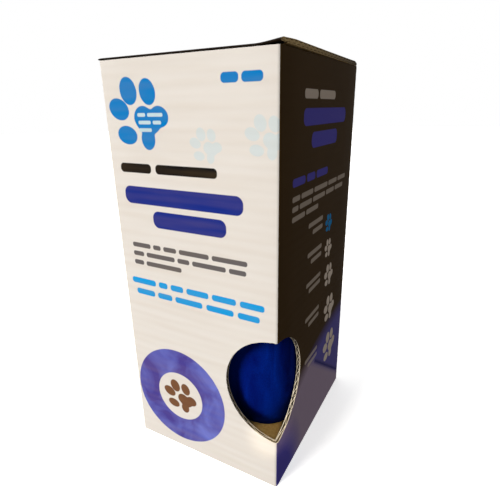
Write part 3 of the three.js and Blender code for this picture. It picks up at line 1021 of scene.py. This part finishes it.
def hinge_crease():
    """The outer liner's strip over the hinge, from the back wall to the lid."""
    radius = CRUSHED_BACK
    y = OUT_Y + STRIP_PROUD
    z = LID_REST + CRUSHED_BACK + STRIP_PROUD
    path = path_line(y, HEIGHT - STRIP_DOWN, y, z - radius, 0.5)
    path += path_arc(y - radius, z - radius, radius, 10, 90)
    for along, flat in path_line(y - radius - 0.2, 0, y - STRIP_ALONG, 0, 0.6):
        path.append((along, LID_REST + crushed(along) + STRIP_PROUD))
    strip = swept(
        "hinge_crease", path, offset_path(path, STRIP_THICKNESS), (LID_BOARD,), "lid_board", None)
    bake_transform(strip)


# Collar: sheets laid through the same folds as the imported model

def section_at(across):
    x = RIGHT_FOLD_X - INNER_FLAP
    depth = -2 * PITCH
    heading = 0.0
    left = across + OUTER_RADIUS
    for length, turn in STRETCHES:
        run = min(left, length)
        left -= run
        if turn == 0:
            x += run * math.cos(heading)
            depth += run * math.sin(heading)
        else:
            angle = turn * math.pi * run / length
            radius = length / (math.pi * turn)
            x += radius * (math.sin(heading + angle) - math.sin(heading))
            depth -= radius * (math.cos(heading + angle) - math.cos(heading))
            heading += angle
        if left <= 0:
            break
    return x, depth, heading


def packed_point(section, along, out):
    x, depth, heading = section
    radius = BEND_RADIUS + depth + out * math.cos(heading)
    turn = min(max(along / BEND_RADIUS, -math.pi / 2), math.pi / 2)
    rise = max(0, abs(along) - BEND_QUARTER)
    return (
        x - out * math.sin(heading),
        radius * math.sin(turn),
        BEND_HEIGHT - radius * math.cos(turn) + rise,
    )


def rounded(distance, roll):
    share = min(max(distance / roll, 0), 1)
    return math.sqrt(1 - (1 - share) ** 2)


EDGE_STEPS = (0.12, 0.4, 0.9, 1.7, 2.8, 4.2, 6)
NECK_ANGLES = (35, 45, 55, 62, 69, 75, 80, 84, 87)
SHEET_SPACING = 1.4
CLOSEST = 0.1
SEAM_HALF = 0.15
PLUSH_EDGE = 0.7
BACKING_EDGE = 0.6
CREASE_ROOM = 0.3
BROAD_CREASE = 0.28
SLANTED_CREASE = 0.16
SHORT_CREASE = 0.12
EDGE_ROWS = (0, 0.002, 0.006, 0.014, 0.026, 0.042, 0.065)
MIDDLE_ROWS = 44


def sheet_stations(neck, slit_half, reach):
    """Distances across the collar where a sheet has a column of points."""
    wanted = [slit_half, neck, reach]
    wanted += [slit_half + step for step in EDGE_STEPS]
    wanted += [reach - step for step in EDGE_STEPS]
    wanted += [neck * math.sin(math.radians(angle)) for angle in NECK_ANGLES]
    wanted += [SHEET_SPACING * step for step in range(1, int(reach / SHEET_SPACING))]
    kept = []
    for station in wanted:
        if slit_half <= station <= reach and all(abs(station - other) > CLOSEST for other in kept):
            kept.append(station)
    kept.sort()
    return [-station for station in reversed(kept)] + kept


def sheet_rows():
    """Shares of the way from the neck hole to the rim, close together at both."""
    middle = [0.09 + 0.82 * step / MIDDLE_ROWS for step in range(MIDDLE_ROWS + 1)]
    return [*EDGE_ROWS, *middle, *[1 - share for share in reversed(EDGE_ROWS)]]


def packed_sheet(name, inset, roll, top, bottom, materials):
    """One closed sheet between two surfaces, heights over the sleeve's middle."""
    outer = OUTER_RADIUS - inset
    neck = NECK_RADIUS + inset
    slit_half = SLIT_HALF + inset
    reach = outer * math.sin(END_ANGLE)
    stations = sheet_stations(neck, slit_half, reach)
    rows = sheet_rows()
    index = {}
    tops = []
    bottoms = []
    sections = [section_at(across) for across in stations]

    def vertex(column, side, row):
        across = stations[column]
        closed = abs(across) >= neck
        key = (column, 0 if closed and row == 0 else side, row)
        if key not in index:
            near = 0 if closed else math.sqrt(neck ** 2 - across ** 2)
            far = math.sqrt(outer ** 2 - across ** 2)
            along = side * (near + (far - near) * rows[row])
            from_middle = math.hypot(across, along)
            edges = [outer - from_middle, reach - abs(across), from_middle - neck]
            if along > 0:
                edges.append(abs(across) - slit_half)
            full = rounded(min(edges), roll)
            index[key] = len(tops)
            tops.append(packed_point(sections[column], along, top(full, across, along)))
            bottoms.append(packed_point(sections[column], along, bottom(full, across, along)))
        return index[key]

    quads = []
    for column in range(len(stations) - 1):
        is_slit = abs(stations[column] + stations[column + 1]) < slit_half
        for side in (-1,) if is_slit else (-1, 1):
            for row in range(len(rows) - 1):
                quad = (
                    vertex(column, side, row),
                    vertex(column + 1, side, row),
                    vertex(column + 1, side, row + 1),
                    vertex(column, side, row + 1),
                )
                quads.append(quad if side < 0 else quad[::-1])
    return closed_sheet(name, tops, bottoms, quads, materials)


def closed_sheet(name, tops, bottoms, quads, materials):
    count = len(tops)
    faces = []
    edges = set()
    for quad in quads:
        ring = [v for i, v in enumerate(quad) if v != quad[i - 1]]
        faces.append(tuple(ring))
        faces.append(tuple(v + count for v in reversed(ring)))
        for i, v in enumerate(ring):
            edges.add((ring[i - 1], v))
    for a, b in edges:
        if (b, a) not in edges:
            faces.append((b, a, a + count, b + count))
    piece = mesh_piece(name, tops + bottoms, faces, materials, "carton")
    fix_normals(piece)
    return piece


def creases(across, along):
    """Soft unevenness of the deflated sleeve, in millimetres."""
    return (
        BROAD_CREASE * math.sin(across / 9.5 + 0.7) * math.sin(along / 13 + 1.9)
        + SLANTED_CREASE * math.sin(across / 4.1 - along / 17)
        + SHORT_CREASE * math.sin(along / 5.3 + across / 21 + 0.4)
    )


def packed_collar():
    front = packed_sheet(
        "plush_panel", 0, EDGE_ROLL,
        lambda full, across, along: (
            mix(PLUSH_EDGE, HALF - CREASE_ROOM, full) + full * creases(across, along)),
        lambda full, across, along: mix(SEAM_HALF, HALF - PLUSH, full),
        (BLUE_PLUSH,))
    back = packed_sheet(
        "backing_panel", 0, EDGE_ROLL,
        lambda full, across, along: -mix(SEAM_HALF, HALF - BACKING, full),
        lambda full, across, along: -mix(BACKING_EDGE, HALF, full),
        (BLACK_CLOTH,))
    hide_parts("cover_front_panel")
    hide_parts("cover_back_panel")


def air_bladder():
    """The deflated bladder: two films welded round their edges, inside the cover."""
    highest = HALF - PLUSH - BLADDER_GAP
    lowest = BACKING + BLADDER_GAP - HALF
    middle = (highest + lowest) / 2
    half = (highest - lowest) / 2
    bladder = packed_sheet(
        "bladder_film", BLADDER_INSET, EDGE_ROLL,
        lambda full, across, along: middle + mix(BLADDER_FILM, half, full),
        lambda full, across, along: middle - mix(BLADDER_FILM, half, full),
        (CLEAR_FILM,))
    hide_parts("air_bladder")


def rim_line():
    """The sewn edge, as distances across and along the collar: the rim, then the neck hole."""
    reach = OUTER_RADIUS * math.sin(END_ANGLE)

    def arc(radius, start, end):
        steps = max(2, round(abs(end - start) * radius / RIM_SPACING))
        turns = [mix(start, end, step / steps) for step in range(steps + 1)]
        return [(radius * math.sin(turn), radius * math.cos(turn)) for turn in turns]

    slit_outer = math.asin(SLIT_HALF / OUTER_RADIUS)
    slit_neck = math.asin(SLIT_HALF / NECK_RADIUS)
    rim = arc(OUTER_RADIUS, slit_outer, 2 * math.pi - slit_outer)
    rim = [(max(-reach, min(reach, across)), along) for across, along in rim]
    neck = arc(NECK_RADIUS, 2 * math.pi - slit_neck, slit_neck)
    sides = round((OUTER_RADIUS - NECK_RADIUS) / RIM_SPACING)
    return rim + points_between(rim[-1], neck[0], sides) + neck + points_between(neck[-1], rim[0], sides)


def tube(name, path, radius, materials, sides=8):
    """A closed loop of tube along a path of points, carried along without twisting."""
    path = [Vector(point) for point in path]
    count = len(path)
    points = []
    across = (path[1] - path[-1]).orthogonal().normalized()
    for index, point in enumerate(path):
        run = (path[(index + 1) % count] - path[index - 1]).normalized()
        across = (across - run * across.dot(run)).normalized()
        other = run.cross(across)
        points += [point + (across * a + other * b) * radius for a, b in circle(sides)]
    piece = mesh_piece(name, points, tube_faces(count, sides, closed_rows=True), materials, "carton")
    fix_normals(piece)
    return piece


def edge_binding():
    path = [packed_point(section_at(across), along, 0) for across, along in rim_line()]
    return tube("edge_binding", path, BINDING_RADIUS, (BLACK_CLOTH,))


def strap(name, path, thickness, middle_z, half_width, material):
    """A flat strap in front of the collar: a path of (X, Y) on its back face, swept up and down."""
    line = [point for index, point in enumerate(path) if index == 0 or point != path[index - 1]]
    dense = []
    for a, b in zip(line, line[1:]):
        steps = max(2, round(math.dist(a, b) / STRAP_SPACING))
        dense += [point_between(a, b, step / steps) for step in range(steps)]
    dense.append(line[-1])
    levels = round(2 * half_width / STRAP_SPACING)
    tops = []
    bottoms = []
    for x, y in dense:
        for level in range(levels + 1):
            across = mix(-half_width, half_width, level / levels)
            to_end = min(math.dist((x, y), dense[0]), math.dist((x, y), dense[-1]))
            full = rounded(min(half_width - abs(across), to_end), STRAP_ROLL)
            tops.append((x, y - mix(STRAP_EDGE_FRONT, 1, full) * thickness, middle_z + across))
            bottoms.append((x, y - mix(STRAP_EDGE_BACK, 0, full) * thickness, middle_z + across))
    quads = []
    for column in range(len(dense) - 1):
        for level in range(levels):
            start = column * (levels + 1) + level
            quads.append((start, start + 1, start + levels + 2, start + levels + 1))
    return closed_sheet(name, tops, bottoms, quads, (material,))


# A thread's rings: place as a share of its length, and width
STITCH_RINGS = ((-0.5, 0.35), (-0.38, 0.9), (0, 1), (0.38, 0.9), (0.5, 0.35))


def stitches(name, places):
    """Short threads on the front of a strap: (X, Y, Z, whether it runs upright)."""
    points = []
    faces = []
    thread_faces = tube_faces(len(STITCH_RINGS), STITCH_SIDES)
    thread_faces.append(tuple(range(STITCH_SIDES)))
    last = (len(STITCH_RINGS) - 1) * STITCH_SIDES
    thread_faces.append(tuple(last + side for side in reversed(range(STITCH_SIDES))))
    for x, y, z, upright in places:
        start = len(points)
        for share, width in STITCH_RINGS:
            run = share * STITCH_LENGTH
            for a, b in circle(STITCH_SIDES, STITCH_RADIUS * width):
                points.append((x + a, y + b, z + run) if upright else (x + run, y + b, z + a))
        faces += [tuple(start + corner for corner in face) for face in thread_faces]
    fix_normals(mesh_piece(name, points, faces, (THREAD,), "carton"))


def stitched_box(x_from, x_to, z_from, z_to, y):
    """Places of stitches round a rectangle, just inside its edges."""
    x_from, x_to = x_from + STITCH_INSET, x_to - STITCH_INSET
    z_from, z_to = z_from + STITCH_INSET, z_to - STITCH_INSET
    places = []
    count = round((x_to - x_from) / STITCH_PITCH)
    for step in range(count):
        x = mix(x_from, x_to, (step + 0.5) / count)
        places += [(x, y, z_from, False), (x, y, z_to, False)]
    count = round((z_to - z_from) / STITCH_PITCH)
    for step in range(count):
        z = mix(z_from, z_to, (step + 0.5) / count)
        places += [(x_from, y, z, True), (x_to, y, z, True)]
    return places


def closure():
    """The loop patch on one side of the slit, and the hook tab that crosses to it."""
    (left, front, foot), (right, back, top) = box_mm("closure_patch")
    middle = (foot + top) / 2
    path = [(left, back), (right, back)]
    patch = strap("loop_patch", path, back - front, middle, (top - foot) / 2, LOOP_TAPE)
    stitches("patch_stitches", stitched_box(left, right, foot, top, front))
    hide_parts("closure_patch")

    (tab_left, _, tab_foot), (tab_right, tab_back, tab_top) = box_mm("closure_tab")
    sewn_to = SLIT_X - SLIT_HALF
    over_patch = front - TAB_GAP
    path = [(tab_left, tab_back), (sewn_to, tab_back), (left - TAB_GAP, over_patch), (tab_right, over_patch)]
    half = (tab_top - tab_foot) / 2
    tab = strap("hook_tab", path, TAB_THICKNESS, middle, half, HOOK_TAPE)
    places = stitched_box(tab_left, sewn_to, tab_foot, tab_top, tab_back - TAB_THICKNESS)
    stitches("tab_stitches", places)
    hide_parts("closure_tab")


def softened(outline, radius, steps=4):
    """The same closed outline with its corners rounded."""
    soft = []
    for index, corner in enumerate(outline):
        corner = Vector(corner)
        before = Vector(outline[index - 1])
        after = Vector(outline[(index + 1) % len(outline)])
        if corner.x < ON_AXIS:
            soft.append(tuple(corner))
            continue
        start, end = (
            corner + (other - corner).normalized() * min(radius, (other - corner).length / 2)
            for other in (before, after)
        )
        for step in range(steps + 1):
            share = step / steps
            a = start.lerp(corner, share)
            soft.append(tuple(a.lerp(corner.lerp(end, share), share)))
    return soft


def lathe(name, outline, x, z):
    """A closed outline of (radius, distance out) turned about a line that runs out of the front."""
    points = []
    for radius, out in outline:
        points += [(x + a, -out, z + b) for a, b in circle(VALVE_SIDES, radius)]
    faces = tube_faces(len(outline), VALVE_SIDES, closed_rows=True)
    piece = mesh_piece(name, points, faces, (VALVE_PLASTIC,), "carton")
    fix_normals(piece, merge=True)
    sharpen(piece)
    return piece


def air_valve():
    """The flanged stem and its push-in plug, with a flat head dished in its middle."""
    low, high = box_mm("valve_stem")
    x = (low[0] + high[0]) / 2
    z = (low[2] + high[2]) / 2
    inner = -high[1]
    outer = -low[1]
    outline = (
        (VALVE_BORE, inner),
        (VALVE_FLANGE, inner),
        (VALVE_FLANGE, inner + VALVE_FLANGE_THICKNESS),
        (VALVE_NECK, inner + VALVE_FLANGE_THICKNESS),
        (VALVE_NECK, outer),
        (VALVE_BORE, outer),
    )
    stem = lathe("air_valve_stem", softened(outline, VALVE_SOFTENED), x, z)
    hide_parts("valve_stem")

    low, high = box_mm("valve_plug")
    head = (high[0] - low[0]) / 2
    tip = -high[1]
    top = -low[1]
    under_head = top - VALVE_HEAD_THICKNESS
    outline = (
        (0, tip),
        (PLUG_TIP, tip),
        (PLUG_RADIUS, tip + PLUG_POINT),
        (PLUG_RADIUS, under_head),
        (head, under_head),
        (head, top),
        (head - PLUG_RIM, top),
        (head - PLUG_SLOPE, top - PLUG_HOLLOW),
        (0, top - PLUG_HOLLOW),
    )
    plug = lathe("air_valve_plug", softened(outline, PLUG_SOFTENED), x, z)
    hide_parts("valve_plug")


# Scene

CAMERA_AZIMUTH = math.radians(28.91)
CAMERA_ELEVATION = math.radians(19.30)
CAMERA_ROLL = math.radians(-0.879)
CAMERA_DISTANCE = 182.8
CAMERA_TARGET = (2.48, 0, 83.3)
CAMERA_LENS = 29.2
CAMERA_SENSOR = 36
CAMERA_CLIP = (0.005, 50)

WORLD_FRONT = 0.2
WORLD_BEHIND = 0.95
WORLD_BAND = (0.1, 0.7)
WORLD_BRIGHTEST = (-0.66, 0.72, 0.2)
KEY_POWER = 3.35
KEY_PLACE = (-0.33, -0.82, 0.43)
KEY_TINT = (1, 0.97, 0.93)
KEY_ANGLE = math.radians(20)
GLINT_POWER = 26.0
GLINT_PLACE = (0.179, -0.343, 0.343)
GLINT_TARGET = (0.0208, -0.0168, 0.0016)
GLINT_TINT = (1, 0.87, 0.64)
GLINT_ANGLE = math.radians(0.95)
GLINT_BLEND = 0.7
GLINT_RADIUS = 0.008
WHITE = (1, 1, 1, 1)
FLOOR_WHITE = colour(0.97, 0.97, 0.965)
FLOOR_GLOW = 0.6
FLOOR_RADIUS = 3.0
FLOOR_SIDES = 96
DOME_RINGS = 12
DOME_SIDES = 48
DOME_FOOT = -5
DOME_TOP = 88


def camera():
    data = bpy.data.cameras.new("camera")
    data.lens = CAMERA_LENS
    data.sensor_width = CAMERA_SENSOR
    data.clip_start, data.clip_end = CAMERA_CLIP
    camera_object = linked("camera", data)
    back = Vector((
        math.sin(CAMERA_AZIMUTH) * math.cos(CAMERA_ELEVATION),
        -math.cos(CAMERA_AZIMUTH) * math.cos(CAMERA_ELEVATION),
        math.sin(CAMERA_ELEVATION),
    ))
    camera_object.location = (Vector(CAMERA_TARGET) + back * CAMERA_DISTANCE) * MM
    camera_object.rotation_euler = back.to_track_quat("Z", "Y").to_euler()
    camera_object.rotation_euler.rotate_axis("Z", CAMERA_ROLL)
    bpy.context.scene.camera = camera_object


def light(name, kind, place, target, power, tint):
    data = bpy.data.lights.new(name, kind)
    data.energy = power
    data.color = tint
    lamp = linked(name, data)
    lamp.location = place
    lamp.rotation_euler = (Vector(place) - Vector(target)).to_track_quat("Z", "Y").to_euler()
    return data


def sky():
    """A white world, brighter behind the object than in front of it."""
    world = bpy.data.worlds.new("studio")
    bpy.context.scene.world = world
    world.use_nodes = True
    shades = Nodes(world.node_tree, "Generated")
    behind = shades.vector("DOT_PRODUCT", shades.place, WORLD_BRIGHTEST, output=1)
    background = world.node_tree.nodes["Background"].inputs
    shades.put(background["Color"], WHITE)
    shades.put(background["Strength"], shades.ramp(behind, *WORLD_BAND, WORLD_FRONT, WORLD_BEHIND))


def studio():
    sky()
    key = light("key", "SUN", KEY_PLACE, (0, 0, 0), KEY_POWER, KEY_TINT)
    key.angle = KEY_ANGLE
    glint = light("window_glint", "SPOT", GLINT_PLACE, GLINT_TARGET, GLINT_POWER, GLINT_TINT)
    glint.spot_size = GLINT_ANGLE
    glint.spot_blend = GLINT_BLEND
    glint.shadow_soft_size = GLINT_RADIUS
    edge = [(x, y, 0) for x, y in circle(FLOOR_SIDES, FLOOR_RADIUS)]
    floor = staged_mesh("floor", edge, [tuple(range(FLOOR_SIDES))])
    hide_from_light(floor, "visible_diffuse", "visible_glossy")
    pale = Finish("floor", 0.9, Emission_Color=WHITE, Emission_Strength=FLOOR_GLOW)
    floor.data.materials.append(pale.finish(FLOOR_WHITE))
    backdrop()
    bpy.context.scene.view_settings.view_transform = "Standard"


def staged_mesh(name, points, faces):
    mesh = bpy.data.meshes.new(name)
    mesh.from_pydata(points, [], faces)
    stage = linked(name, mesh)
    return stage


def hide_from_light(stage, *rays):
    for ray in rays:
        setattr(stage, ray, False)


def backdrop():
    """A white dome that only the camera sees, so it neither lights nor shades the object."""
    points = []
    for ring in range(DOME_RINGS + 1):
        height = math.radians(mix(DOME_FOOT, DOME_TOP, ring / DOME_RINGS))
        across = FLOOR_RADIUS * math.cos(height)
        z = FLOOR_RADIUS * math.sin(height)
        points += [(x, y, z) for x, y in circle(DOME_SIDES, across)]
    faces = tube_faces(DOME_RINGS + 1, DOME_SIDES)
    faces.append(tuple(DOME_RINGS * DOME_SIDES + side for side in range(DOME_SIDES)))
    dome = staged_mesh("backdrop", points, faces)
    hide_from_light(dome, "visible_diffuse", "visible_glossy", "visible_transmission", "visible_shadow")
    white = bpy.data.materials.new("backdrop")
    white.use_nodes = True
    nodes = white.node_tree.nodes
    glow = nodes.new("ShaderNodeEmission")
    glow.inputs["Strength"].default_value = 1.0
    white.node_tree.links.new(glow.outputs[0], nodes["Material Output"].inputs["Surface"])
    dome.data.materials.append(white)


camera()
studio()
carton_walls()
floor_panel()
carton_lid()
packed_collar()
hinge_crease()
edge_binding()
air_bladder()
closure()
air_valve()
